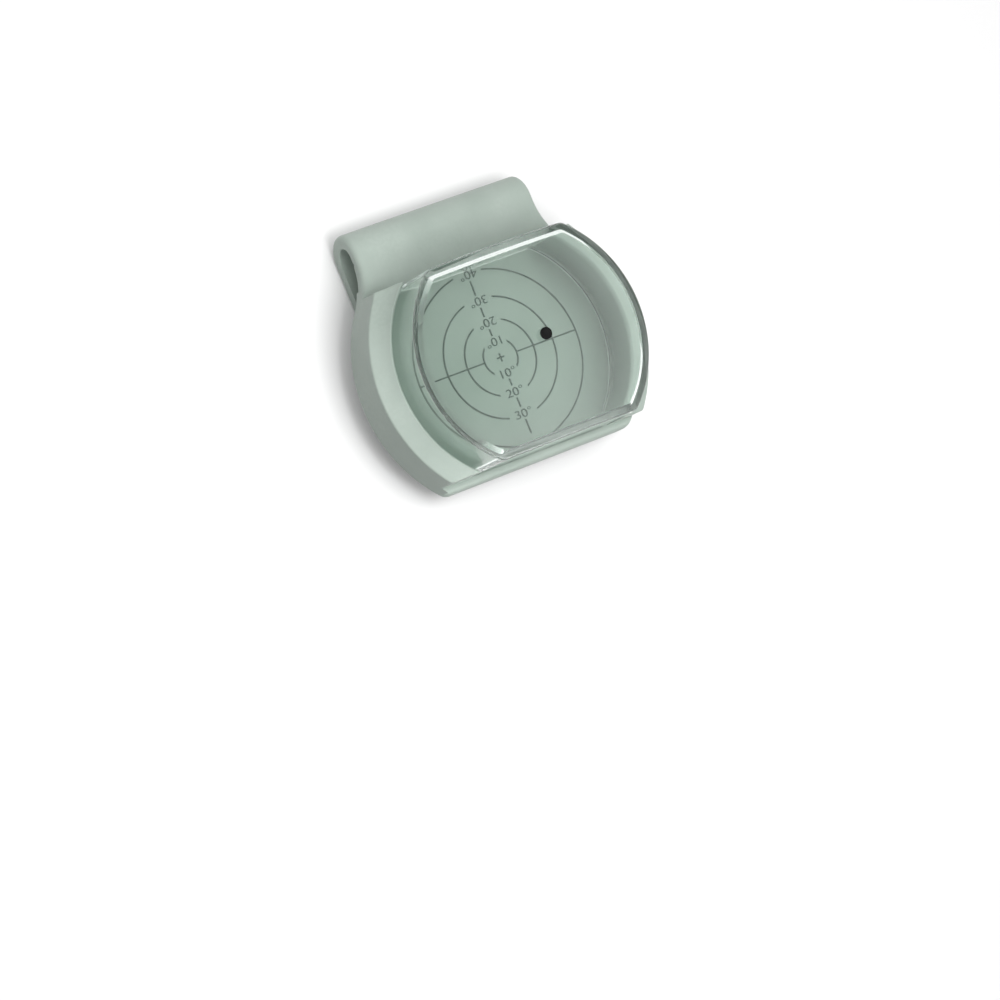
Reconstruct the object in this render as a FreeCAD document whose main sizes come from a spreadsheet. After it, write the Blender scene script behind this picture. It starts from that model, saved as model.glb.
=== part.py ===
import FreeCAD, Part
import math
import os
import Sketcher

# Clip-on sun-angle dial. Millimetres, +Z up along the dial's axis.
# The origin is on the dial's axis, on the back face that lies on the panel.
# +X runs along the clip's roll, and +Y points from the dial to the roll.

SIZES = {
    # shadow dot and dial print
    "dot_height": 20.0,          # dot's top above the dial floor, which sets every ring
    "dot_diameter": 2.3,
    "dot_thickness": 0.5,
    "dot_fit": 0.05,             # gap round the dot in its recess
    "ring_step": 10.0,           # degrees of tilt from one ring to the next
    "line_width": 0.3,
    "ink_thickness": 0.08,
    "numeral_width": 6.1,        # room left in each ring for its numeral
    "narrow_numeral_width": 5.0, # the same in the smallest ring
    "numeral_height": 2.4,       # room left in the upright line for a numeral
    "numeral_shift": 0.5,        # middle of a numeral inside its ring
    "mark_size": 1.6,
    "print_margin": 0.2,         # clear edge of the raised dial floor
    # clear cover
    "cover_radius": 23.8,
    "cover_flat": 18.7,          # dial axis to the cover's flats
    "cover_corner": 2.2,
    "cover_wall": 1.6,
    "cavity_corner": 0.7,
    "dome_rise": 5.7,            # dot's top above the dome's edge
    "cover_chamfer": 0.4,
    "seat_fit": 0.1,             # gap between the cover's foot and its groove
    # base plate
    "plate_thickness": 2.9,
    "floor_step": 0.6,           # dial floor above the plate and depth of the groove
    "ledge_width": 1.8,          # free flat of the plate outside the cover's flat
    "ledge_round": 1.5,
    "plate_corner": 2.5,
    # crescent rims
    "rim_gap": 0.6,              # gap between the cover and the rims
    "rim_width": 4.1,
    "rim_lip_width": 1.95,
    "rim_height": 4.7,           # outer wall above the dial floor
    "rim_face_rise": 1.0,
    "rim_lip_rise": 0.9,
    "rim_chamfer": 0.5,
    # clip
    "clip_half_width": 19.75,
    "shoulder_gap": 1.2,         # straight stretch from the shoulders' ends to the roll
    "front_wall": 2.1,
    "slot_height": 4.55,
    "slot_depth": 8.6,           # plate's edge to the bottom of the slot
    "crown_wall": 2.6,
    "leg_wall": 2.65,
    "leg_length": 35.5,          # plate's edge to the tip of the leg
    "leg_corner": 4.0,
    "lead_in_length": 4.5,
    "lead_in_depth": 1.2,
    "clip_chamfer": 0.3,
}

doc = FreeCAD.newDocument("sun_angle_dial")
sheet = doc.addObject("Spreadsheet::Sheet", "sizes")
for row, (alias, number) in enumerate(SIZES.items(), start=1):
    sheet.set("A%d" % row, alias)
    sheet.set("B%d" % row, str(number))
    sheet.setAlias("B%d" % row, alias)
doc.recompute()

# Lengths that follow from the sheet, as expressions.
FLOOR = "(sizes.plate_thickness + sizes.floor_step)"
APEX = "(%s + sizes.dot_height)" % FLOOR
RIM_INNER = "(sizes.cover_radius + sizes.rim_gap)"
RIM_CREASE = "(%s + sizes.rim_lip_width)" % RIM_INNER
BASE_RADIUS = "(%s + sizes.rim_width)" % RIM_INNER
BASE_FLAT = "(sizes.cover_flat + sizes.ledge_width)"
RIM_END = "(sizes.cover_flat + sizes.seat_fit)"
RIM_FACE_TOP = "(%s + sizes.rim_height + sizes.rim_face_rise)" % FLOOR
RIM_TOP = "(%s + sizes.rim_lip_rise)" % RIM_FACE_TOP
DOME_RADIUS = "((sizes.cover_radius ^ 2 + sizes.dome_rise ^ 2) / (2 * sizes.dome_rise))"
SLOT_FRONT = "(sizes.plate_thickness - sizes.front_wall)"
LEG_FRONT = "(%s - sizes.slot_height)" % SLOT_FRONT
LEG_BACK = "(%s - sizes.leg_wall)" % LEG_FRONT
ROLL_RADIUS = "((sizes.front_wall + sizes.slot_height + sizes.leg_wall) / 2)"
ROLL_END = "(%s + sizes.slot_depth + sizes.crown_wall)" % BASE_FLAT
ROLL_START = "(%s - %s)" % (ROLL_END, ROLL_RADIUS)
FAR = "(%s * 2)" % BASE_RADIUS


def value(expression):
    """Number that an expression has now."""
    found = sheet.evalExpression(expression)
    return float(getattr(found, "Value", found))


def new_body(label):
    body = doc.addObject("PartDesign::Body", label)
    body.Label = label
    return body


def new_sketch(body, name, role, lift=None):
    """Sketch on an origin plane of the body, lifted along the plane's normal."""
    sketch = body.newObject("Sketcher::SketchObject", name)
    plane = next(item for item in body.Origin.OriginFeatures if item.Role == role)
    sketch.AttachmentSupport = (plane, [""])
    sketch.MapMode = "FlatFace"
    if lift:
        sketch.setExpression(".AttachmentOffset.Base.z", lift)
    return sketch


def bind(sketch, kind, expression, *references):
    """Dimension that follows an expression."""
    index = sketch.addConstraint(Sketcher.Constraint(kind, *references, value(expression)))
    sketch.setExpression("Constraints[%d]" % index, expression)


def draw_circle(sketch, radius):
    centre = FreeCAD.Vector(0, 0, 0)
    index = sketch.addGeometry(Part.Circle(centre, FreeCAD.Vector(0, 0, 1), value(radius)), False)
    sketch.addConstraint(Sketcher.Constraint("Coincident", index, 3, -1, 1))
    bind(sketch, "Radius", radius, index)


def draw_loop(sketch, corners):
    """Closed loop through corners (x, y) or (x, y, radius, turn).

    A corner with a radius starts an arc to the next corner. The arc turns
    left for a turn of 1 and right for a turn of -1.
    """
    points = [FreeCAD.Vector(value(corner[0]), value(corner[1]), 0) for corner in corners]
    first = sketch.GeometryCount
    count = len(corners)
    ends = []
    for index, corner in enumerate(corners):
        start = points[index]
        stop = points[(index + 1) % count]
        if len(corner) == 2:
            sketch.addGeometry(Part.LineSegment(start, stop), False)
            ends.append((1, 2))
            continue
        radius = value(corner[2])
        turn = corner[3]
        chord = stop - start
        side = FreeCAD.Vector(-chord.y, chord.x, 0).normalize() * turn
        reach = math.sqrt(max(radius ** 2 - (chord.Length / 2) ** 2, 0))
        bulge = start + chord * 0.5 + side * (reach - radius)
        sketch.addGeometry(Part.Arc(start, bulge, stop), False)
        ends.append((1, 2) if turn > 0 else (2, 1))
    for index, corner in enumerate(corners):
        here = first + index
        after = (index + 1) % count
        sketch.addConstraint(
            Sketcher.Constraint("Coincident", here, ends[index][1], first + after, ends[after][0]))
        bind(sketch, "DistanceX", corner[0], -1, 1, here, ends[index][0])
        bind(sketch, "DistanceY", corner[1], -1, 1, here, ends[index][0])
        if len(corner) == 4:
            bind(sketch, "Radius", corner[2], here)


def draw_rectangle(sketch, left, right, low, high):
    draw_loop(sketch, [(left, low), (right, low), (right, high), (left, high)])


def draw_flatted_disc(sketch, radius, flat, corner):
    """Disc with two flats across Y, and round corners where they meet its arcs."""
    corner_y = "(%s - %s)" % (flat, corner)
    corner_reach = "(%s - %s)" % (radius, corner)
    corner_x = "sqrt(%s ^ 2 - %s ^ 2)" % (corner_reach, corner_y)
    arc_x = "(%s * %s / %s)" % (corner_x, radius, corner_reach)
    arc_y = "(%s * %s / %s)" % (corner_y, radius, corner_reach)
    draw_loop(sketch, [
        (arc_x, "-" + arc_y, radius, 1),
        (arc_x, arc_y, corner, 1),
        (corner_x, flat),
        ("-" + corner_x, flat, corner, 1),
        ("-" + arc_x, arc_y, radius, 1),
        ("-" + arc_x, "-" + arc_y, corner, 1),
        ("-" + corner_x, "-" + flat),
        (corner_x, "-" + flat, corner, 1),
    ])


def settle(body, feature):
    """Make the feature the body's last one, and stop if it fails."""
    body.Tip = feature
    doc.recompute()
    if "Invalid" in feature.State:
        raise RuntimeError("%s: %s" % (feature.Name, feature.getStatusString()))


def add_feature(body, kind, sketch, length=None, **settings):
    feature = body.newObject("PartDesign::" + kind, sketch.Name + "_" + kind.lower())
    feature.Profile = sketch
    for name, setting in settings.items():
        setattr(feature, name, setting)
    if length:
        feature.setExpression("Length", length)
    settle(body, feature)
    return feature


def pad(body, sketch, length, **settings):
    return add_feature(body, "Pad", sketch, length, **settings)


def cut(body, kind, sketch, length=None, **settings):
    """Pocket or Groove that has to take material away."""
    before = body.Shape.Volume
    feature = add_feature(body, kind, sketch, length, **settings)
    if body.Shape.Volume > before - 1e-3:
        raise RuntimeError(feature.Name + " cuts nothing")
    return feature


def turn_groove(body, sketch):
    return cut(body, "Groove", sketch, ReferenceAxis=(sketch, ["V_Axis"]), Angle=360)


def ease_edges(body, kind, name, measure, size, chosen):
    """Fillet or Chamfer on the edges of the body that chosen(points of the edge) accepts."""
    names = []
    for number, edge in enumerate(body.Shape.Edges, start=1):
        span = edge.LastParameter - edge.FirstParameter
        points = [edge.valueAt(edge.FirstParameter + span * share / 4) for share in range(5)]
        if chosen(points):
            names.append("Edge%d" % number)
    if not names:
        raise RuntimeError(name + " finds no edge")
    base = body.Tip
    feature = body.newObject("PartDesign::" + kind, name)
    feature.Base = (base, names)
    feature.setExpression(measure, size)
    settle(body, feature)
    return feature


def all_near(numbers, target):
    return all(abs(number - target) < 1e-4 for number in numbers)


def draw_plate_outline(sketch):
    """Round plate with a free flat, and shoulders that sweep into the clip's sides."""
    corner = "sizes.plate_corner"
    side = "sizes.clip_half_width"
    corner_y = "(%s - %s)" % (BASE_FLAT, corner)
    corner_reach = "(%s - %s)" % (BASE_RADIUS, corner)
    corner_x = "sqrt(%s ^ 2 - %s ^ 2)" % (corner_reach, corner_y)
    arc_x = "(%s * %s / %s)" % (corner_x, BASE_RADIUS, corner_reach)
    arc_y = "(%s * %s / %s)" % (corner_y, BASE_RADIUS, corner_reach)
    end_y = "(%s - sizes.shoulder_gap)" % ROLL_START
    shoulder = "((%s ^ 2 + %s ^ 2 - %s ^ 2) / (2 * (%s - %s)))" % (
        end_y, side, BASE_RADIUS, BASE_RADIUS, side)
    meet_share = "(%s / (%s + %s))" % (BASE_RADIUS, BASE_RADIUS, shoulder)
    meet_x = "((%s + %s) * %s)" % (side, shoulder, meet_share)
    meet_y = "(%s * %s)" % (end_y, meet_share)
    draw_loop(sketch, [
        (arc_x, "-" + arc_y, BASE_RADIUS, 1),
        (meet_x, meet_y, shoulder, -1),
        (side, end_y),
        ("-" + side, end_y, shoulder, -1),
        ("-" + meet_x, meet_y, BASE_RADIUS, 1),
        ("-" + arc_x, "-" + arc_y, corner, 1),
        ("-" + corner_x, "-" + BASE_FLAT),
        (corner_x, "-" + BASE_FLAT, corner, 1),
    ])


def cut_rims(body):
    """Turn the dial's bowl and the rims' two sloping faces, then cut the rims off square."""
    bowl = new_sketch(body, "bowl", "XZ_Plane")
    face_slope = "(sizes.rim_face_rise / (%s - %s))" % (BASE_RADIUS, RIM_CREASE)
    above = "(%s + 1)" % RIM_TOP
    draw_loop(bowl, [
        ("0", FLOOR),
        (RIM_INNER, FLOOR),
        (RIM_INNER, "(%s - sizes.rim_chamfer)" % RIM_TOP),
        ("(%s + sizes.rim_chamfer)" % RIM_INNER, RIM_TOP),
        (RIM_CREASE, RIM_FACE_TOP),
        (FAR, "(%s - %s * (%s - %s))" % (RIM_FACE_TOP, face_slope, FAR, RIM_CREASE)),
        (FAR, above),
        ("0", above),
    ])
    turn_groove(body, bowl)
    clip_side = new_sketch(body, "clip_side", "XY_Plane", "sizes.plate_thickness")
    draw_rectangle(clip_side, "-" + FAR, FAR, RIM_END, FAR)
    cut(body, "Pocket", clip_side, RIM_TOP, Reversed=True)
    free_side = new_sketch(body, "free_side", "XY_Plane", FLOOR)
    draw_rectangle(free_side, "-" + FAR, FAR, "-" + FAR, "-" + RIM_END)
    cut(body, "Pocket", free_side, RIM_TOP, Reversed=True)


def cut_ledge_round(body):
    """Round over the plate's free top edge, straight across."""
    ledge = new_sketch(body, "ledge", "YZ_Plane")
    outside = "(-%s - 1)" % BASE_FLAT
    above = "(%s + 1)" % FLOOR
    start_y = "(sizes.ledge_round - %s)" % BASE_FLAT
    draw_loop(ledge, [
        (start_y, FLOOR, "sizes.ledge_round", 1),
        ("-" + BASE_FLAT, "(%s - sizes.ledge_round)" % FLOOR),
        (outside, "(%s - sizes.ledge_round)" % FLOOR),
        (outside, above),
        (start_y, above),
    ])
    cut(body, "Pocket", ledge, "2 * " + FAR, Midplane=True)


def cut_cover_seat(body):
    """Groove in the dial floor that takes the cover's foot."""
    seat = new_sketch(body, "cover_seat", "XY_Plane", FLOOR)
    draw_flatted_disc(
        seat,
        "(sizes.cover_radius + sizes.seat_fit)",
        RIM_END,
        "(sizes.cover_corner + sizes.seat_fit)",
    )
    draw_flatted_disc(
        seat,
        "(sizes.cover_radius - sizes.cover_wall - sizes.seat_fit)",
        "(sizes.cover_flat - sizes.cover_wall - sizes.seat_fit)",
        "sizes.cavity_corner",
    )
    cut(body, "Pocket", seat, "sizes.floor_step")


def add_clip(body):
    """Front wall, roll and leg of the clip, as one bent section."""
    relief = new_sketch(body, "wall_relief", "YZ_Plane")
    draw_rectangle(relief, BASE_FLAT, FAR, "-1", SLOT_FRONT)
    cut(body, "Pocket", relief, "2 * " + FAR, Midplane=True)

    section = new_sketch(body, "clip_section", "YZ_Plane")
    root_radius = "(sizes.slot_height / 2)"
    root_y = "(%s - sizes.crown_wall - %s)" % (ROLL_END, root_radius)
    inside_plate = "(%s - sizes.front_wall)" % BASE_FLAT
    tip_y = "(%s - sizes.leg_length)" % BASE_FLAT
    draw_loop(section, [
        (inside_plate, SLOT_FRONT),
        (root_y, SLOT_FRONT, root_radius, -1),
        ("(%s + %s)" % (root_y, root_radius), "(%s - %s)" % (SLOT_FRONT, root_radius), root_radius, -1),
        (root_y, LEG_FRONT),
        ("(%s + sizes.lead_in_length)" % tip_y, LEG_FRONT),
        (tip_y, "(%s - sizes.lead_in_depth)" % LEG_FRONT),
        (tip_y, LEG_BACK),
        (ROLL_START, LEG_BACK, ROLL_RADIUS, 1),
        (ROLL_END, "(%s + %s)" % (LEG_BACK, ROLL_RADIUS), ROLL_RADIUS, 1),
        (ROLL_START, "sizes.plate_thickness"),
        (inside_plate, "sizes.plate_thickness"),
    ])
    pad(body, section, "2 * sizes.clip_half_width", Midplane=True)


def ease_clip(body):
    """Round the leg's corners and take the sharp edge off the clip's ends."""
    side = value("sizes.clip_half_width")
    tip_y = value("%s - sizes.leg_length" % BASE_FLAT)
    leg_back = value(LEG_BACK)
    ease_edges(body, "Fillet", "leg_corners", "Radius", "sizes.leg_corner", lambda points: (
        all_near([abs(point.x) for point in points], side)
        and all_near([point.y for point in points], tip_y)))
    ease_edges(body, "Chamfer", "clip_ends", "Size", "sizes.clip_chamfer", lambda points: (
        all_near([abs(point.x) for point in points], side)
        and all_near([points[0].z, points[-1].z], leg_back)))


def make_clip_body():
    """One moulding: dial plate, two crescent rims and the folded clip."""
    body = new_body("clip_body")
    plate = new_sketch(body, "plate", "XY_Plane")
    draw_plate_outline(plate)
    pad(body, plate, RIM_TOP)
    cut_rims(body)
    cut_ledge_round(body)
    cut_cover_seat(body)
    add_clip(body)
    ease_clip(body)
    return body


def make_domed_prism(label, inset, corner, foot):
    """Flatted disc under a spherical dome, all inset by one wall for the cavity."""
    body = new_body(label)
    outline = new_sketch(body, label + "_outline", "XY_Plane", foot)
    draw_flatted_disc(
        outline,
        "(sizes.cover_radius - %s)" % inset,
        "(sizes.cover_flat - %s)" % inset,
        corner,
    )
    pad(body, outline, "%s - %s" % (APEX, foot))
    dome = new_sketch(body, label + "_dome", "XZ_Plane")
    radius = "(%s - %s)" % (DOME_RADIUS, inset)
    centre_z = "(%s - %s)" % (APEX, DOME_RADIUS)
    edge_x = "(sizes.cover_radius + sizes.rim_gap)"
    edge_z = "(%s + sqrt(%s ^ 2 - %s ^ 2))" % (centre_z, radius, edge_x)
    above = "(%s + sizes.dome_rise)" % APEX
    draw_loop(dome, [
        (edge_x, edge_z, radius, 1),
        ("0", "(%s + %s)" % (centre_z, radius), radius, 1),
        ("-" + edge_x, edge_z),
        ("-" + edge_x, above),
        (edge_x, above),
    ])
    swing_line = dome.addGeometry(Part.LineSegment(
        FreeCAD.Vector(-value(edge_x), value(centre_z), 0),
        FreeCAD.Vector(value(edge_x), value(centre_z), 0)), True)
    bind(dome, "DistanceX", "-" + edge_x, -1, 1, swing_line, 1)
    bind(dome, "DistanceY", centre_z, -1, 1, swing_line, 1)
    bind(dome, "DistanceX", edge_x, -1, 1, swing_line, 2)
    bind(dome, "DistanceY", centre_z, -1, 1, swing_line, 2)
    cut(body, "Groove", dome, ReferenceAxis=(dome, ["Axis0"]), Midplane=True, Angle=90)
    return body


def make_clear_cover():
    """Clear dome with vertical walls, its foot in the groove and a recess for the dot."""
    cavity = make_domed_prism("cover_cavity", "sizes.cover_wall", "sizes.cavity_corner", "0")
    body = make_domed_prism("clear_cover", "0", "sizes.cover_corner", "sizes.plate_thickness")
    edge_low = value("%s - sizes.dome_rise" % APEX) - 0.5
    apex = value(APEX)
    ease_edges(body, "Chamfer", "cover_edge", "Size", "sizes.cover_chamfer", lambda points: (
        edge_low < min(point.z for point in points) and max(point.z for point in points) < apex - 0.1
        and abs(points[0].z - points[-1].z) < 3
        and not all_near([points[0].x - points[-1].x, points[0].y - points[-1].y], 0)))
    hollow = body.newObject("PartDesign::Boolean", "cover_hollow")
    hollow.Type = "Cut"
    hollow.setObjects([cavity])
    settle(body, hollow)
    recess = new_sketch(body, "dot_recess", "XY_Plane", "%s + sizes.dot_thickness" % APEX)
    draw_circle(recess, "sizes.dot_diameter / 2 + sizes.dot_fit")
    cut(body, "Pocket", recess, "2 * sizes.dot_thickness")
    return body


def make_shadow_dot():
    """Black disc, set flush in the dome's apex."""
    body = new_body("shadow_dot")
    disc = new_sketch(body, "dot_disc", "XY_Plane", "%s - sizes.dot_thickness" % APEX)
    draw_circle(disc, "sizes.dot_diameter / 2")
    pad(body, disc, "sizes.dot_thickness")
    return body


def ring_radius(step):
    """Where the dot's shadow falls when the sun is this many steps off the axis."""
    return "(sizes.dot_height * tan(%d * sizes.ring_step))" % step


def new_box(name, left, right, low, high):
    """Box of one ink layer's height on the dial floor."""
    box = doc.addObject("Part::Box", name)
    box.setExpression("Length", "(%s) - (%s)" % (right, left))
    box.setExpression("Width", "(%s) - (%s)" % (high, low))
    box.setExpression("Height", "sizes.ink_thickness")
    box.setExpression(".Placement.Base.x", left)
    box.setExpression(".Placement.Base.y", low)
    box.setExpression(".Placement.Base.z", FLOOR)
    return box


def new_disc(name, radius):
    disc = doc.addObject("Part::Cylinder", name)
    disc.setExpression("Radius", radius)
    disc.setExpression("Height", "sizes.ink_thickness")
    disc.setExpression(".Placement.Base.z", FLOOR)
    return disc


def combine(kind, name, first, *others):
    """Cut, MultiFuse or Common of earlier objects."""
    result = doc.addObject("Part::" + kind, name)
    if kind == "MultiFuse":
        result.Shapes = [first, *others]
    else:
        result.Base = first
        result.Tool = others[0]
    result.Label = name
    doc.recompute()
    return result


def make_print_area():
    """Raised dial floor inside the cover's foot, less its margin."""
    body = new_body("print_area")
    area = new_sketch(body, "print_outline", "XY_Plane", FLOOR)
    inset = "(sizes.cover_wall + sizes.seat_fit + sizes.print_margin)"
    draw_flatted_disc(
        area,
        "(sizes.cover_radius - %s)" % inset,
        "(sizes.cover_flat - %s)" % inset,
        "sizes.cavity_corner",
    )
    pad(body, area, "sizes.ink_thickness")
    return body


def make_ring(step, area):
    """One printed ring, open at both numerals."""
    name = "dial_ring_%d0" % step
    radius = ring_radius(step)
    outside = new_disc(name + "_outside", "%s + sizes.line_width / 2" % radius)
    inside = new_disc(name + "_inside", "%s - sizes.line_width / 2" % radius)
    half = "sizes.narrow_numeral_width / 2" if step == 1 else "sizes.numeral_width / 2"
    gap = new_box(name + "_gap", "-" + half, half, "-2 * " + radius, "2 * " + radius)
    band = combine("Cut", name + "_band", outside, inside)
    arcs = combine("Cut", name + "_arcs", band, gap)
    return combine("Common", name, arcs, area)


def make_level_line(area):
    """Line through the rings along X, in stretches between their edges."""
    half = "sizes.line_width / 2"
    stretches = []
    for step in (1, 2, 3):
        start = "%s + %s" % (ring_radius(step), half)
        stop = "%s - %s" % (ring_radius(step + 1), half)
        name = "level_stretch_%d" % step
        stretches.append(new_box(name + "_right", start, stop, "-" + half, half))
        stretches.append(new_box(name + "_left", "-(%s)" % stop, "-(%s)" % start, "-" + half, half))
    fused = combine("MultiFuse", "level_stretches", *stretches)
    return combine("Common", "dial_line_level", fused, area)


def make_upright_line(area):
    """Line through the rings along Y, in stretches between the numerals."""
    half = "sizes.line_width / 2"
    stretches = []
    for step in (1, 2, 3):
        start = "%s + sizes.numeral_height / 2 - sizes.numeral_shift" % ring_radius(step)
        stop = "%s - sizes.numeral_height / 2 - sizes.numeral_shift" % ring_radius(step + 1)
        name = "upright_stretch_%d" % step
        stretches.append(new_box(name + "_upper", "-" + half, half, start, stop))
        stretches.append(new_box(name + "_lower", "-" + half, half, "-(%s)" % stop, "-(%s)" % start))
    fused = combine("MultiFuse", "upright_stretches", *stretches)
    return combine("Common", "dial_line_upright", fused, area)


def make_centre_mark():
    """Small plus where the shadow falls when the panel faces the sun."""
    reach = "sizes.mark_size / 2"
    half = "sizes.line_width / 2"
    level = new_box("mark_level", "-" + reach, reach, "-" + half, half)
    upright = new_box("mark_upright", "-" + half, half, "-" + reach, reach)
    return combine("MultiFuse", "dial_centre_mark", level, upright)


def check_and_export(parts):
    doc.recompute()
    for item in doc.Objects:
        if "Invalid" in item.State or "Error" in item.State:
            raise RuntimeError("%s is %s" % (item.Name, item.State))
    for item in parts:
        if item.Shape.isNull() or not item.Shape.isValid() or not item.Shape.Solids:
            raise RuntimeError(item.Label + " has no sound solid")
    os.makedirs("parts", exist_ok=True)
    for item in parts:
        item.Shape.exportStep(os.path.join("parts", item.Label + ".step"))
        box = item.Shape.BoundBox
        print("%-18s solids %d volume %9.2f  x %.2f..%.2f y %.2f..%.2f z %.2f..%.2f" % (
            item.Label, len(item.Shape.Solids), item.Shape.Volume,
            box.XMin, box.XMax, box.YMin, box.YMax, box.ZMin, box.ZMax))


parts = [make_clip_body(), make_clear_cover(), make_shadow_dot()]
print_area = make_print_area()
parts += [make_ring(step, print_area) for step in (1, 2, 3, 4)]
parts += [make_level_line(print_area), make_upright_line(print_area), make_centre_mark()]
check_and_export(parts)
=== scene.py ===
from math import atan2, pi, radians, sqrt, tan
import bmesh
import bpy
from mathutils import Matrix, Vector


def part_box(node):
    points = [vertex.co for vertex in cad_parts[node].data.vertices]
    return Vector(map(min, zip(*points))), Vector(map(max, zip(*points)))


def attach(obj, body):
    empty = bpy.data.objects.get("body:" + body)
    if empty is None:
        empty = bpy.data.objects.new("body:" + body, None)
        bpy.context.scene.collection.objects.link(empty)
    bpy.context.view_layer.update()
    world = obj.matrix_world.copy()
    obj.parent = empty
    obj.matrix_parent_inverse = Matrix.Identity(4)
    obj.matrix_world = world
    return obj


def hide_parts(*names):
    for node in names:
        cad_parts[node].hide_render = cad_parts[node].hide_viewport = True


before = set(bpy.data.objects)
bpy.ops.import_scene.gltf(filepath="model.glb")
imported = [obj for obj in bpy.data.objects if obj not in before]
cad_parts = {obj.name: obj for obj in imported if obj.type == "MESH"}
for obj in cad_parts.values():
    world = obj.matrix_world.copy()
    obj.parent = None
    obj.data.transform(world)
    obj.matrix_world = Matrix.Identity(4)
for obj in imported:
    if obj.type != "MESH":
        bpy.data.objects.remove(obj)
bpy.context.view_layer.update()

# Clip-on sun-angle dial, in metres. +Z is the dial's axis, +Y points to the clip's roll.

mm = 0.001
hair = 0.01 * mm  # keeps a point on a limit from falling on the wrong side of it
sameSpot = 0.02 * mm  # places this near to each other count as one
sameRound = 0.05 * mm  # the same on round faces, whose facets cut inside their circle
weldGap = 0.0001 * mm
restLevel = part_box("clip_body")[0].z  # the leg's back lies on the floor
coverLow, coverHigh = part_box("clear_cover")
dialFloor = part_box("dial_ring_40")[0].z  # the ink lies on it

cameraView = {
    "place": (-0.37472, -0.04442, 0.70191),
    "aim": (-0.00937, -0.02447, 0.0),
    "up": (0.32219, 0.92658, 0.19403),
    "lens": 154.22,  # this and the sensor in millimetres
    "sensorWidth": 36,
    "nearest": 0.01,
    "farthest": 20,
}
lightBounces = 48  # enough for light to run up and down inside the clear walls


def addCamera(view):
    place = Vector(view["place"])
    back = (place - Vector(view["aim"])).normalized()
    right = Vector(view["up"]).cross(back).normalized()
    up = back.cross(right)
    turn = Matrix((right, up, back)).transposed().to_4x4()
    data = bpy.data.cameras.new("studioCamera")
    data.lens = view["lens"]
    data.sensor_width = view["sensorWidth"]
    data.clip_start = view["nearest"]
    data.clip_end = view["farthest"]
    camera = bpy.data.objects.new("studioCamera", data)
    camera.matrix_world = Matrix.Translation(place) @ turn
    bpy.context.scene.collection.objects.link(camera)
    bpy.context.scene.camera = camera


def setLightPaths(bounces):
    scene = bpy.context.scene
    scene.view_settings.view_transform = "Standard"
    scene.cycles.max_bounces = bounces
    scene.cycles.transmission_bounces = bounces
    scene.cycles.glossy_bounces = bounces


addCamera(cameraView)
setLightPaths(lightBounces)
print("camera set")


class Socket:
    # One output of a node. Arithmetic on it adds Math nodes.
    def __init__(self, tree, output):
        self.tree = tree
        self.output = output

    def __add__(self, other):
        return self.tree.maths("ADD", self, other)

    def __radd__(self, other):
        return self.tree.maths("ADD", other, self)

    def __sub__(self, other):
        return self.tree.maths("SUBTRACT", self, other)

    def __rsub__(self, other):
        return self.tree.maths("SUBTRACT", other, self)

    def __mul__(self, other):
        return self.tree.maths("MULTIPLY", self, other)

    def __rmul__(self, other):
        return self.tree.maths("MULTIPLY", other, self)


class ShaderTree:
    def __init__(self, tree):
        self.nodes = tree.nodes
        self.links = tree.links

    def node(self, kind, settings, inputs, output=0):
        made = self.nodes.new(kind)
        for name, setting in settings.items():
            setattr(made, name, setting)
        for name, given in inputs.items():
            if isinstance(given, Socket):
                self.links.new(given.output, made.inputs[name])
            else:
                made.inputs[name].default_value = given
        return Socket(self, made.outputs[output])

    def maths(self, operation, *values):
        return self.node("ShaderNodeMath", {"operation": operation}, dict(enumerate(values)))

    def between(self, level, low, high):
        # 0 up to low, 1 from high on.
        return self.node("ShaderNodeMapRange", {"clamp": True}, {
            "Value": level, "From Min": low, "From Max": high})

    def blend(self, mask, first, second):
        # The Mix node's colours are inputs 6 and 7 and output 2. Their names aren't unique.
        return self.node("ShaderNodeMix", {"data_type": "RGBA"}, {
            "Factor": mask, 6: first, 7: second}, 2)

    def ray(self, kind):
        return self.node("ShaderNodeLightPath", {}, {}, kind)

    def seenDirectly(self):
        # 1 for camera rays and for what glass and gloss show, 0 for the light that surfaces receive.
        shown = self.maths("MAXIMUM", self.ray("Is Camera Ray"), self.ray("Is Glossy Ray"))
        return self.maths("MAXIMUM", shown, self.ray("Is Transmission Ray"))


socketNames = {
    "colour": "Base Color",
    "roughness": "Roughness",
    "normal": "Normal",
    "ior": "IOR",
    "transmission": "Transmission Weight",
    "specular": "Specular IOR Level",
}


class Finish(ShaderTree):
    # A material under construction, with its Principled shader.
    def __init__(self, name):
        self.material = bpy.data.materials.new(name)
        self.material.use_nodes = True
        super().__init__(self.material.node_tree)
        self.shader = self.nodes["Principled BSDF"]
        self.place = self.node("ShaderNodeTexCoord", {}, {}, "Object")

    def noise(self, scale, detail):
        return self.node("ShaderNodeTexNoise", {}, {
            "Vector": self.place, "Scale": scale, "Detail": detail})

    def bump(self, height, distance):
        return self.node("ShaderNodeBump", {}, {"Height": height, "Distance": distance})

    def set(self, **given):
        for name, setting in given.items():
            socket = self.shader.inputs[socketNames[name]]
            if isinstance(setting, Socket):
                self.links.new(setting.output, socket)
            else:
                socket.default_value = setting
        return self.material


def colour(red, green, blue):
    return (red, green, blue, 1.0)


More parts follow.
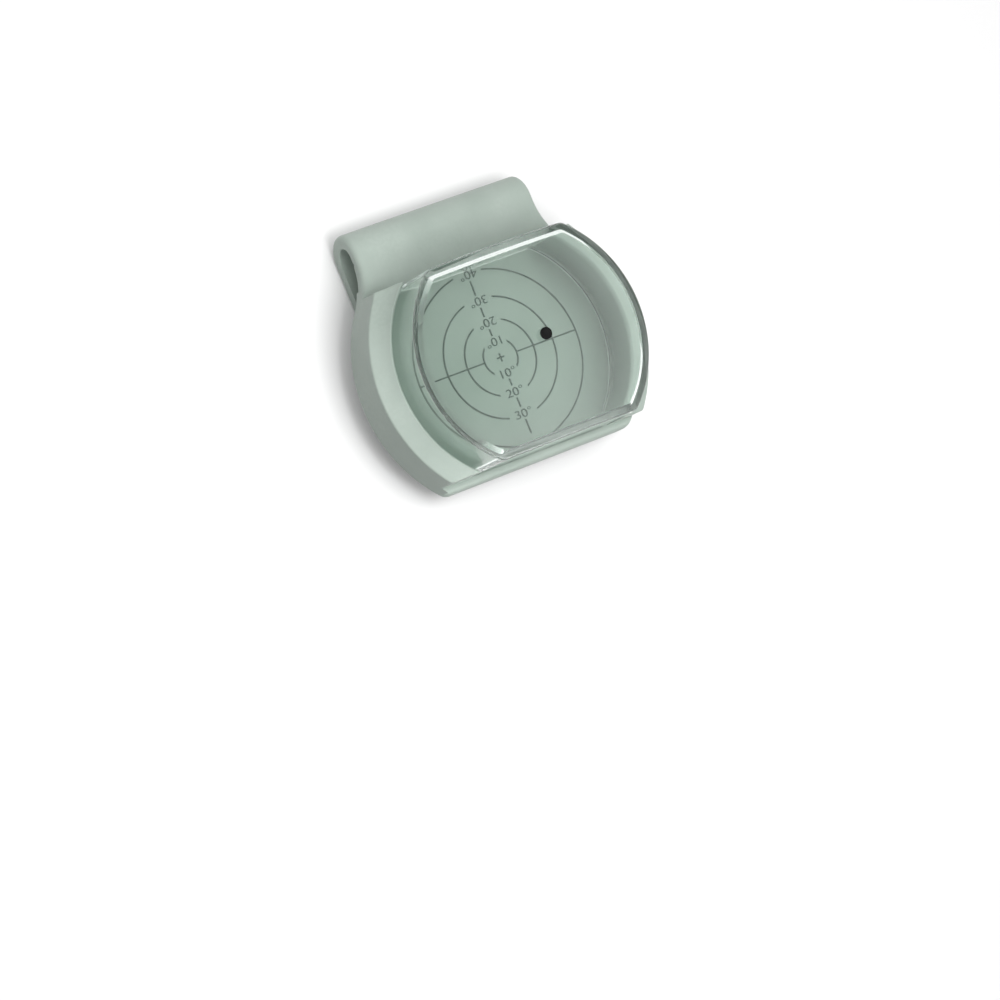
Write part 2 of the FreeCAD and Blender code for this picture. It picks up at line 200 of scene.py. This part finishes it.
# In each finish a noise is its scale and detail, and a range is where its blend starts and ends.
mouldedPlastic = {
    "colour": colour(0.375, 0.440, 0.395),
    "pale": colour(0.405, 0.470, 0.425),
    "deep": colour(0.345, 0.408, 0.365),
    "cloudNoise": (90, 4),
    "cloudRange": (0.35, 0.65),
    "speckNoise": (1400, 2),
    "speckRange": (0.4, 0.6),
    "speckShare": 0.5,
    "roughness": (0.36, 0.48),
    "roughShares": (0.6, 0.4),  # of the cloud and the speck
    "roughRange": (0.35, 0.65),
    "gloss": 0.32,
    "ior": 1.5,
    "grain": 0.012 * mm,
}


def makeMouldedPlastic(look):
    finish = Finish("mouldedPlastic")
    cloud = finish.noise(*look["cloudNoise"])
    speck = finish.noise(*look["speckNoise"])
    base = finish.blend(finish.between(cloud, *look["cloudRange"]), look["deep"], look["pale"])
    speckled = look["speckShare"] * finish.between(speck, *look["speckRange"])
    base = finish.blend(speckled, base, look["colour"])
    low, high = look["roughness"]
    cloudShare, speckShare = look["roughShares"]
    uneven = finish.between(cloud * cloudShare + speck * speckShare, *look["roughRange"])
    rough = low + (high - low) * uneven
    grain = finish.bump(speck, look["grain"])
    return finish.set(colour=base, roughness=rough, normal=grain,
                      ior=look["ior"], specular=look["gloss"])


clearPlastic = {
    "colour": colour(0.90, 0.965, 0.93),
    "haze": colour(0.87, 0.945, 0.905),
    "cloudNoise": (60, 4),
    "hazeRange": (0.4, 0.7),
    "roughness": (0.012, 0.04),
    "roughRange": (0.5, 0.75),
    "clarity": 0.99,
    "ior": 1.49,
}


def makeClearPlastic(look):
    finish = Finish("clearPlastic")
    cloud = finish.noise(*look["cloudNoise"])
    base = finish.blend(finish.between(cloud, *look["hazeRange"]), look["colour"], look["haze"])
    low, high = look["roughness"]
    rough = low + (high - low) * finish.between(cloud, *look["roughRange"])
    return finish.set(colour=base, roughness=rough, ior=look["ior"], transmission=look["clarity"])


frostedFoot = {
    "colour": colour(0.88, 0.94, 0.90),
    "shade": colour(0.76, 0.83, 0.79),
    "patchNoise": (350, 3),
    "patchRange": (0.35, 0.65),
    "roughness": 0.6,
}


def makeFrostedFoot(look):
    finish = Finish("frostedFoot")
    patch = finish.noise(*look["patchNoise"])
    base = finish.blend(finish.between(patch, *look["patchRange"]), look["shade"], look["colour"])
    return finish.set(colour=base, roughness=look["roughness"])


printedInk = {
    "colour": colour(0.085, 0.115, 0.098),
    "thin": colour(0.15, 0.185, 0.165),
    "patchNoise": (700, 3),
    "patchRange": (0.45, 0.7),
    "roughness": 0.55,
    "patchRoughness": 0.15,
}


def makePrintedInk(look):
    finish = Finish("printedInk")
    patch = finish.noise(*look["patchNoise"])
    base = finish.blend(finish.between(patch, *look["patchRange"]), look["colour"], look["thin"])
    rough = look["roughness"] + look["patchRoughness"] * patch
    return finish.set(colour=base, roughness=rough)


dotPaint = {
    "colour": colour(0.004, 0.004, 0.004),
    "worn": colour(0.010, 0.010, 0.010),
    "patchNoise": (900, 3),
    "patchRange": (0.4, 0.7),
    "roughness": 0.5,
    "patchRoughness": 0.2,
    "gloss": 0.15,
}


def makeDotPaint(look):
    finish = Finish("dotPaint")
    patch = finish.noise(*look["patchNoise"])
    base = finish.blend(finish.between(patch, *look["patchRange"]), look["colour"], look["worn"])
    rough = look["roughness"] + look["patchRoughness"] * patch
    return finish.set(colour=base, roughness=rough, specular=look["gloss"])


plasticMaterial = makeMouldedPlastic(mouldedPlastic)
clearMaterial = makeClearPlastic(clearPlastic)
footMaterial = makeFrostedFoot(frostedFoot)
inkMaterial = makePrintedInk(printedInk)
dotMaterial = makeDotPaint(dotPaint)
nodeMaterials = {"clip_body": plasticMaterial, "shadow_dot": dotMaterial}
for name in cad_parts:
    if name.startswith("dial_"):
        nodeMaterials[name] = inkMaterial
for name, material in nodeMaterials.items():
    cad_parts[name].material_slots[0].material = material
print("materials made")


def addPiece(name, bm, material):
    mesh = bpy.data.meshes.new(name)
    bm.to_mesh(mesh)
    bm.free()
    mesh.materials.append(material)
    piece = bpy.data.objects.new(name, mesh)
    bpy.context.scene.collection.objects.link(piece)
    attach(piece, "root")
    return piece


def faceNormals(piece, sharpAngle):
    # Flats keep their own normals, so that only the rounds shade as rounds.
    for polygon in piece.data.polygons:
        polygon.use_smooth = True
    piece.data.set_sharp_from_angle(angle=radians(sharpAngle))
    weighted = piece.modifiers.new("faceNormals", "WEIGHTED_NORMAL")
    weighted.keep_sharp = True
    weighted.weight = 100


# A round is its width, its segments and the least angle in degrees of the edges that take it.
mouldedBody = {
    "clipHalfWidth": 19.75 * mm,
    "rollMiddle": (27.05 * mm, -1.75 * mm),  # Y and Z of the roll's axis
    "rollRadius": 4.65 * mm,
    "plateEdge": 20.5 * mm,  # dial's axis to where the clip's slot opens
    "rimEnd": 18.8 * mm,  # dial's axis to the rims' square ends
    "rimInside": 24.4 * mm,  # radius of the rims' inner wall
    "rimMiddle": 26 * mm,  # radius that parts the rims' inner edges from their outer ones
    "rimFoot": 5 * mm,  # level between the dial's floor and the edges of the rims' tops
    "cornerCut": 0.1 * mm,  # over the dial's floor, where the corner rounds end
    "squareEdge": 0.3 * mm,  # width of the chamfer that gives way to the clip's round
    "rimCorner": (0.45 * mm, 4, 25),
    "rimOuterCorner": (0.42 * mm, 5, 25),
    "rimEdge": (0.3 * mm, 3, 18),
    "clipEdge": (1.0 * mm, 5, 40),
    "slotEdge": (0.3 * mm, 3, 40),
    "flatAngle": 0.5,  # faces that turn by less become one
    "sharpAngle": 38,
}


def isNear(first, second, gap=sameSpot):
    return abs(first - second) < gap


def flatten(bm, angle):
    bmesh.ops.dissolve_degenerate(bm, edges=bm.edges, dist=weldGap)
    bmesh.ops.dissolve_limit(bm, angle_limit=radians(angle), use_dissolve_boundaries=False,
                             verts=bm.verts, edges=bm.edges)


def squareClipEdge(bm, sizes):
    # Weld the two rails of the chamfer along the clip back into one sharp edge.
    side, cut = sizes["clipHalfWidth"], sizes["squareEdge"]
    middleY, middleZ = sizes["rollMiddle"]
    front = middleZ + sizes["rollRadius"]
    back = middleZ - sizes["rollRadius"]

    def rail(place, inset, depth):
        if place.y > middleY + hair:
            radius = Vector((place.y - middleY, place.z - middleZ)).length
            return isNear(abs(place.x), side - inset) and isNear(radius, sizes["rollRadius"] - depth)
        onFront = isNear(place.z, front - depth) and place.y > sizes["rimEnd"] - hair
        return onFront or isNear(place.z, back + depth)

    sideRail = [vert for vert in bm.verts if rail(vert.co, 0, cut)]
    faceRail = [vert for vert in bm.verts if rail(vert.co, cut, 0)]
    partners = {}
    corners = {}
    for vert in sideRail:
        partner = min(faceRail, key=lambda other: (other.co - vert.co).length)
        partners[partner] = vert
        onRoll = vert.co.y > middleY + hair
        corners[vert] = (vert.co.x, partner.co.y if onRoll else vert.co.y, partner.co.z)
    bmesh.ops.weld_verts(bm, targetmap=partners)
    for vert, corner in corners.items():
        vert.co = corner
    flatten(bm, sizes["flatAngle"])


def cutRimCorners(bm, sizes):
    # A cut just over the dial's floor gives the corner rounds edges to finish on.
    corners = [edge for edge in bm.edges if all(
        isNear(abs(vert.co.y), sizes["rimEnd"])
        and isNear(vert.co.xy.length, sizes["rimInside"], sameRound) for vert in edge.verts)]
    faces = {face for edge in corners for face in edge.link_faces}
    around = {item for face in faces for item in list(face.edges) + list(face.verts)}
    bmesh.ops.bisect_plane(bm, geom=list(faces | around), dist=weldGap, plane_no=(0, 0, 1),
                           plane_co=(0, 0, dialFloor + sizes["cornerCut"]))


def roundOver(bm, shape, chosen):
    # Bevels the chosen edges. Hollow ones have a negative angle and stay sharp.
    width, segments, least = shape
    edges = [edge for edge in bm.edges if edge.calc_face_angle_signed(0) > radians(least)
             and chosen(edge.verts[0].co, edge.verts[1].co)]
    bmesh.ops.bevel(bm, geom=edges, offset=width, offset_type="OFFSET", segments=segments,
                    profile=0.5, affect="EDGES", clamp_overlap=False, material=-1)


def addMouldedBody(sizes):
    bm = bmesh.new()
    bm.from_mesh(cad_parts["clip_body"].data)
    bmesh.ops.remove_doubles(bm, verts=bm.verts, dist=weldGap)
    flatten(bm, sizes["flatAngle"])
    squareClipEdge(bm, sizes)
    cutRimCorners(bm, sizes)
    side, end = sizes["clipHalfWidth"], sizes["rimEnd"]
    middleY, middleZ = sizes["rollMiddle"]
    plateTop = middleZ + sizes["rollRadius"]

    def upright(start, stop):
        return isNear(start.x, stop.x) and isNear(start.y, stop.y) and isNear(abs(start.y), end)

    def rimCorner(start, stop):
        inside = isNear(start.xy.length, sizes["rimInside"], sameRound)
        return upright(start, stop) and inside and max(start.z, stop.z) > sizes["rimFoot"]

    def rimOuterCorner(start, stop):
        freeSide = start.y < 0 and start.xy.length > sizes["rimMiddle"]
        return upright(start, stop) and freeSide and max(start.z, stop.z) > plateTop + sameRound

    def rimEdge(start, stop):
        return min(start.z, stop.z) > sizes["rimFoot"]

    def onOutside(place):
        if place.y > middleY - hair:
            reach = Vector((place.y - middleY, place.z - middleZ)).length
            return isNear(reach, sizes["rollRadius"], sameRound)
        return isNear(place.z, plateTop) or isNear(place.z, restLevel)

    def onSides(start, stop):
        return isNear(abs(start.x), side) and isNear(abs(stop.x), side)

    def clipEdge(start, stop):
        level = isNear(start.z, plateTop) and isNear(stop.z, plateTop)
        wide = min(abs(start.x), abs(stop.x)) > side - sameRound
        shoulder = level and wide and min(start.y, stop.y) > end
        return shoulder or (onSides(start, stop) and onOutside(start) and onOutside(stop))

    def slotEdge(start, stop):
        return onSides(start, stop) and min(start.y, stop.y) > sizes["plateEdge"]

    roundOver(bm, sizes["rimCorner"], rimCorner)
    roundOver(bm, sizes["rimOuterCorner"], rimOuterCorner)
    roundOver(bm, sizes["rimEdge"], rimEdge)
    roundOver(bm, sizes["clipEdge"], clipEdge)
    roundOver(bm, sizes["slotEdge"], slotEdge)
    body = addPiece("mouldedBody", bm, plasticMaterial)
    faceNormals(body, sizes["sharpAngle"])
    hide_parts("clip_body")
    print("moulded body rounded,", len(body.data.vertices), "points")


addMouldedBody(mouldedBody)


clearCover = {
    "radius": 23.8 * mm,
    "flat": 18.7 * mm,  # dial's axis to the flats
    "wall": 1.6 * mm,
    "corner": 2.2 * mm,
    "cavityCorner": 0.7 * mm,
    "domeRise": 5.7 * mm,
    "edgeRound": 0.45 * mm,
    "edgeSegments": 5,
    "cavityBevel": 0.64 * mm,  # from the ceiling's edge out to the inner wall
    "cavityDrop": 0.74 * mm,  # from the ceiling down to the top of the inner wall
    "freeSideBevel": 0.25 * mm,  # in place of cavityBevel at the flat away from the clip
    "footEdge": 0.45 * mm,  # clear strip on both sides of the frosted foot
    "footGap": 0.03 * mm,  # over the groove's floor
    "arcSteps": 30,
    "cornerSteps": 8,
    "flatSteps": 16,
    "domeLoops": 22,
    "sharpAngle": 28,
}


def domeLevel(place, dome):
    domeRadius, apex = dome
    return apex - domeRadius + sqrt(domeRadius ** 2 - place.x ** 2 - place.y ** 2)


def flattedOutline(bm, sizes, outline, level):
    # One quarter: big arc, corner arc and half a flat. Two mirrors close the loop.
    radius, flat, corner = outline
    cornerY = flat - corner
    cornerX = sqrt((radius - corner) ** 2 - cornerY ** 2)
    sweep = atan2(cornerY, cornerX)
    before = set(bm.verts)
    tip = bm.verts.new((radius, 0, level))
    bigArc = ((0, 0, level), sweep, sizes["arcSteps"])
    cornerArc = ((cornerX, cornerY, level), pi / 2 - sweep, sizes["cornerSteps"])
    for centre, angle, steps in (bigArc, cornerArc):
        turned = bmesh.ops.spin(bm, geom=[tip], cent=centre, axis=(0, 0, 1), angle=angle, steps=steps)
        tip = turned["geom_last"][0]
    for step in range(sizes["flatSteps"]):
        grown = bmesh.ops.extrude_vert_indiv(bm, verts=[tip])
        tip = grown["verts"][0]
        tip.co.x -= cornerX / sizes["flatSteps"]
    drawn = set(bm.verts) - before
    for axis in "XY":
        edges = {edge for vert in drawn for edge in vert.link_edges}
        bmesh.ops.mirror(bm, geom=list(drawn | edges), axis=axis, merge_dist=-1)
        drawn = set(bm.verts) - before
    bmesh.ops.remove_doubles(bm, verts=list(drawn), dist=weldGap)
    drawn = set(bm.verts) - before
    return list({edge for vert in drawn for edge in vert.link_edges})


def domedShell(bm, sizes, outline, dome, foot, bevel=0, drop=0):
    # The dome's outline, ever smaller loops in to its top, and walls down to the foot. A bevel sets
    # the walls outside the dome's outline. Returns the edges of the rim and the foot.
    radius, flat, corner = outline
    apex = dome[1]
    rim = flattedOutline(bm, sizes, (radius - bevel, flat - bevel, corner), apex)
    domeVerts = {vert for edge in rim for vert in edge.verts}
    loop = rim
    for step in range(sizes["domeLoops"], 1, -1):
        grown = bmesh.ops.extrude_edge_only(bm, edges=loop)["geom"]
        loop = [item for item in grown if isinstance(item, bmesh.types.BMEdge)]
        inner = [item for item in grown if isinstance(item, bmesh.types.BMVert)]
        share = (step - 1) / step
        bmesh.ops.scale(bm, verts=inner, vec=(share, share, 1))
        domeVerts.update(inner)
    middle = bmesh.ops.contextual_create(bm, geom=loop)["faces"]
    domeVerts.update(bmesh.ops.poke(bm, faces=middle)["verts"])
    wallTop = rim
    if bevel:
        wallTop = flattedOutline(bm, sizes, (radius, flat, corner + bevel), foot)
        wallVerts = {vert for edge in wallTop for vert in edge.verts}
        bmesh.ops.bridge_loops(bm, edges=rim + wallTop)
        for vert in wallVerts:
            vert.co.z = domeLevel(vert.co, dome) - drop
    walls = bmesh.ops.extrude_edge_only(bm, edges=wallTop)["geom"]
    for vert in domeVerts:
        vert.co.z = domeLevel(vert.co, dome)
    for item in walls:
        if isinstance(item, bmesh.types.BMVert):
            item.co.z = foot
    return rim, [item for item in walls if isinstance(item, bmesh.types.BMEdge)]


def narrowFreeSideBevel(ceiling, sizes, dome):
    # Moves the ceiling's edge out towards the flat away from the clip.
    ceilingFlat = sizes["flat"] - sizes["wall"] - sizes["cavityBevel"]
    for vert in {vert for edge in ceiling for vert in edge.verts}:
        if isNear(vert.co.y, -ceilingFlat):
            vert.co.y -= sizes["cavityBevel"] - sizes["freeSideBevel"]
            vert.co.z = domeLevel(vert.co, dome)


def addClearCover(sizes):
    bm = bmesh.new()
    wall = sizes["wall"]
    domeRadius = (sizes["radius"] ** 2 + sizes["domeRise"] ** 2) / (2 * sizes["domeRise"])
    foot = coverLow.z + sizes["footGap"]
    outline = (sizes["radius"], sizes["flat"], sizes["corner"])
    rim, outside = domedShell(bm, sizes, outline, (domeRadius, coverHigh.z), foot)
    bmesh.ops.recalc_face_normals(bm, faces=bm.faces)
    bmesh.ops.bevel(bm, geom=rim, offset=sizes["edgeRound"], offset_type="OFFSET",
                    segments=sizes["edgeSegments"], profile=0.5, affect="EDGES",
                    clamp_overlap=True, material=-1)
    cavity = (sizes["radius"] - wall, sizes["flat"] - wall, sizes["cavityCorner"])
    innerDome = (domeRadius - wall, coverHigh.z - wall)
    ceiling, inside = domedShell(bm, sizes, cavity, innerDome, foot + wall,
                                 sizes["cavityBevel"], sizes["cavityDrop"])
    narrowFreeSideBevel(ceiling, sizes, innerDome)
    insideFoot = {vert for edge in inside for vert in edge.verts}
    footRing = bmesh.ops.bridge_loops(bm, edges=outside + inside)["faces"]
    bmesh.ops.translate(bm, vec=(0, 0, -wall), verts=list(insideFoot))  # level with the outside again
    bmesh.ops.inset_region(bm, faces=footRing, thickness=sizes["footEdge"], use_even_offset=True)
    for face in footRing:
        face.material_index = 1
    bmesh.ops.recalc_face_normals(bm, faces=bm.faces)
    cover = addPiece("clearDome", bm, clearMaterial)
    cover.data.materials.append(footMaterial)
    faceNormals(cover, sizes["sharpAngle"])
    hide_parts("clear_cover")
    print("clear cover domed,", len(cover.data.vertices), "points")


addClearCover(clearCover)


# Numerals sit in the gaps of their rings, upside down above the centre.
numerals = {
    "height": 1.65 * mm,
    "width": 1.22,  # stretch across
    "figureShare": 0.72,  # a figure's height as a share of the font's size
    "across": 0.1 * mm,  # to the right of the dial's axis
    "inward": 0.5 * mm,  # from the ring towards the centre
    "shadowHeight": 20 * mm,  # dot over the dial, which sets the rings' radii
    "thickness": 0.08 * mm,
    "below": (10, 20, 30),
    "above": (10, 20, 30, 40),
}


def writeNumber(degrees, size):
    curve = bpy.data.curves.new("numeralText", "FONT")
    curve.body = "%d\u00b0" % degrees
    curve.align_x = "CENTER"
    curve.size = size
    writing = bpy.data.objects.new("numeralText", curve)
    bpy.context.scene.collection.objects.link(writing)
    bpy.context.view_layer.update()
    flat = bpy.data.meshes.new_from_object(writing)
    bpy.data.objects.remove(writing)
    return flat


def addNumeral(degrees, upsideDown, settings):
    bm = bmesh.new()
    bm.from_mesh(writeNumber(degrees, settings["height"] / settings["figureShare"]))
    bmesh.ops.remove_doubles(bm, verts=bm.verts, dist=weldGap)
    raised = bmesh.ops.extrude_face_region(bm, geom=bm.faces)["geom"]
    bmesh.ops.translate(bm, vec=(0, 0, settings["thickness"]),
                        verts=[item for item in raised if isinstance(item, bmesh.types.BMVert)])
    bmesh.ops.recalc_face_normals(bm, faces=bm.faces)
    reach = settings["shadowHeight"] * tan(radians(degrees)) - settings["inward"]
    middle = Matrix.Translation((0, -settings["height"] / 2, 0))
    widen = Matrix.Diagonal((settings["width"], 1, 1, 1))
    turn = Matrix.Rotation(pi if upsideDown else 0, 4, "Z")
    place = Matrix.Translation((settings["across"], reach if upsideDown else -reach, dialFloor))
    bmesh.ops.transform(bm, matrix=place @ turn @ widen @ middle, verts=bm.verts)
    side = "Upper" if upsideDown else "Lower"
    addPiece("numeral%d%s" % (degrees, side), bm, inkMaterial)


for degrees in numerals["below"]:
    addNumeral(degrees, False, numerals)
for degrees in numerals["above"]:
    addNumeral(degrees, True, numerals)
print("numerals printed")


# A slant gives for each axis the exponent by which the sky's level grows along it.
studio = {
    "floorSize": 6.0,
    "floorColour": colour(0.93, 0.93, 0.93),
    "floorRoughness": 0.8,
    "floorGloss": 0.1,
    "bounceFree": colour(0.05, 0.05, 0.05),  # floor colour that only bounced light takes: nearly black on the dial's free side, which paints shade on that side of the object
    "bounceClip": colour(0.55, 0.55, 0.55),
    "bounceReach": 40 * mm,
    "skyColour": colour(1, 1, 1),
    "skyLow": 0.17,  # light at the horizon
    "skyRise": 1.14,  # more of it straight up
    "skySlant": (0.1, 0.18, 0),
    "skyHeight": (0.05, 0.22),  # Z of the directions between which the levels below replace 1
    "seen": {
        "Is Glossy Ray": {"level": 0.3, "slant": (0, -3.8, 0)},
        "Is Transmission Ray": {"level": 1.22, "slant": (1.1, 0.15, 0)},
        "Is Camera Ray": {"level": 1.0, "slant": (0, 0, 0)},
    },
    "lamp": {"place": (-0.02, -0.03, 0.15), "size": 0.08, "power": 0.13},
}


def addFloor(settings):
    bm = bmesh.new()
    bmesh.ops.create_grid(bm, x_segments=1, y_segments=1, size=settings["floorSize"] / 2,
                          matrix=Matrix.Translation((0, 0, restLevel)))
    mesh = bpy.data.meshes.new("paleFloor")
    bm.to_mesh(mesh)
    bm.free()
    finish = Finish("paleFloor")
    # Bounced light takes a colour that runs from nearly black on the free side to grey on the clip's
    # side. This is painted shade on the object's free side. Camera rays, glass and gloss see the even
    # pale floor.
    across = finish.node("ShaderNodeSeparateXYZ", {}, {"Vector": finish.place}, "Y")
    clipSide = finish.between(across, -settings["bounceReach"], settings["bounceReach"])
    bounce = finish.blend(clipSide, settings["bounceFree"], settings["bounceClip"])
    paint = finish.blend(finish.seenDirectly(), bounce, settings["floorColour"])
    mesh.materials.append(finish.set(colour=paint, roughness=settings["floorRoughness"],
                                     specular=settings["floorGloss"]))
    floor = bpy.data.objects.new("paleFloor", mesh)
    bpy.context.scene.collection.objects.link(floor)


def addLamp(lamp):
    data = bpy.data.lights.new("softLamp", "AREA")
    data.energy = lamp["power"]
    data.size = lamp["size"]
    light = bpy.data.objects.new("softLamp", data)
    place = Vector(lamp["place"])
    aim = place.to_track_quat("Z", "Y").to_matrix().to_4x4()
    light.matrix_world = Matrix.Translation(place) @ aim
    light.visible_glossy = False
    light.visible_transmission = False
    bpy.context.scene.collection.objects.link(light)


def setWorld(settings):
    world = bpy.data.worlds.new("studioWorld")
    bpy.context.scene.world = world
    world.use_nodes = True
    tree = ShaderTree(world.node_tree)
    toward = tree.node("ShaderNodeTexCoord", {}, {}, "Generated")
    height = tree.node("ShaderNodeSeparateXYZ", {}, {"Vector": toward}, "Z")
    rise = tree.maths("MAXIMUM", height, 0)
    high = tree.between(height, *settings["skyHeight"])

    def slanted(level, slant):
        along = tree.node("ShaderNodeVectorMath", {"operation": "DOT_PRODUCT"}, {
            0: toward, 1: slant}, "Value")
        return level * tree.maths("EXPONENT", along)

    strength = slanted(settings["skyLow"] + settings["skyRise"] * rise, settings["skySlant"])
    for kind, look in settings["seen"].items():
        view = 1 + high * (slanted(look["level"], look["slant"]) - 1)
        strength = strength + tree.ray(kind) * (view - strength)
    background = tree.nodes["Background"]
    background.inputs["Color"].default_value = settings["skyColour"]
    tree.links.new(strength.output, background.inputs["Strength"])


addFloor(studio)
addLamp(studio["lamp"])
setWorld(studio)
print("studio lit")
